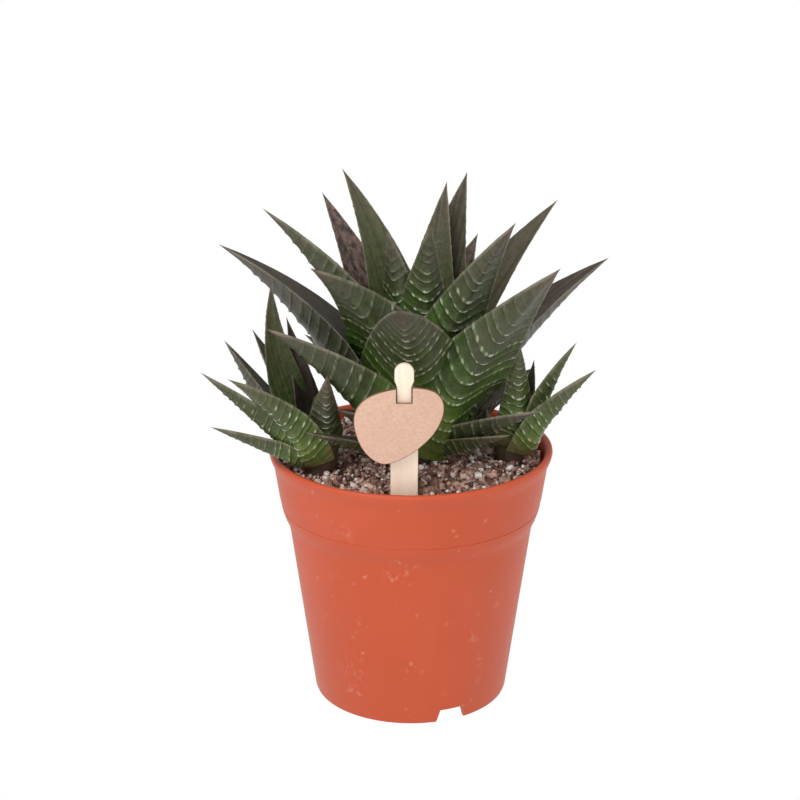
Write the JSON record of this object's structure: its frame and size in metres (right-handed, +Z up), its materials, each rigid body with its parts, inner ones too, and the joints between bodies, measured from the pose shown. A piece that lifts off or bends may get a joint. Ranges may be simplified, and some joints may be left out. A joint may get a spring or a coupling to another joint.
{
  "type": "potted haworthia",
  "caption": "Succulent rosette of thick ridged pointed leaves with young offsets, rooted in a soil-filled nursery pot, with a bare wooden label on a stick.",
  "frame": {"origin": "on the surface that the pot stands on, under the middle of the whole plant's bounding box; the pot's own axis stands about 1 mm to +X and 7 mm to +Y of it", "axes": "+Z up along the pot's axis; +Y from the label at the front towards the back; +X to the right as seen from the front"},
  "size_m": [0.1246, 0.1056, 0.17],
  "materials": {
    "pot_plastic": "thin satin terracotta-orange plastic with pale scuffs",
    "potting_soil": "matt dark brown peat and bark with pale perlite grains",
    "main_leaf": "satin olive green to purple-brown leaf with raised pale ridges",
    "offset_leaf": "satin green leaf with raised pale ridges and dots",
    "birch_stick": "plain pale birch, unvarnished",
    "label_board": "thin tan board, unvarnished"
  },
  "bodies": {
    "root": {"pot": "pot_plastic", "soil": "potting_soil", "main_rosette": "main_leaf", "left_offset": "offset_leaf", "right_offset": "offset_leaf", "label_stick": "birch_stick", "label_plate": "label_board"}
  },
  "joints": []
}
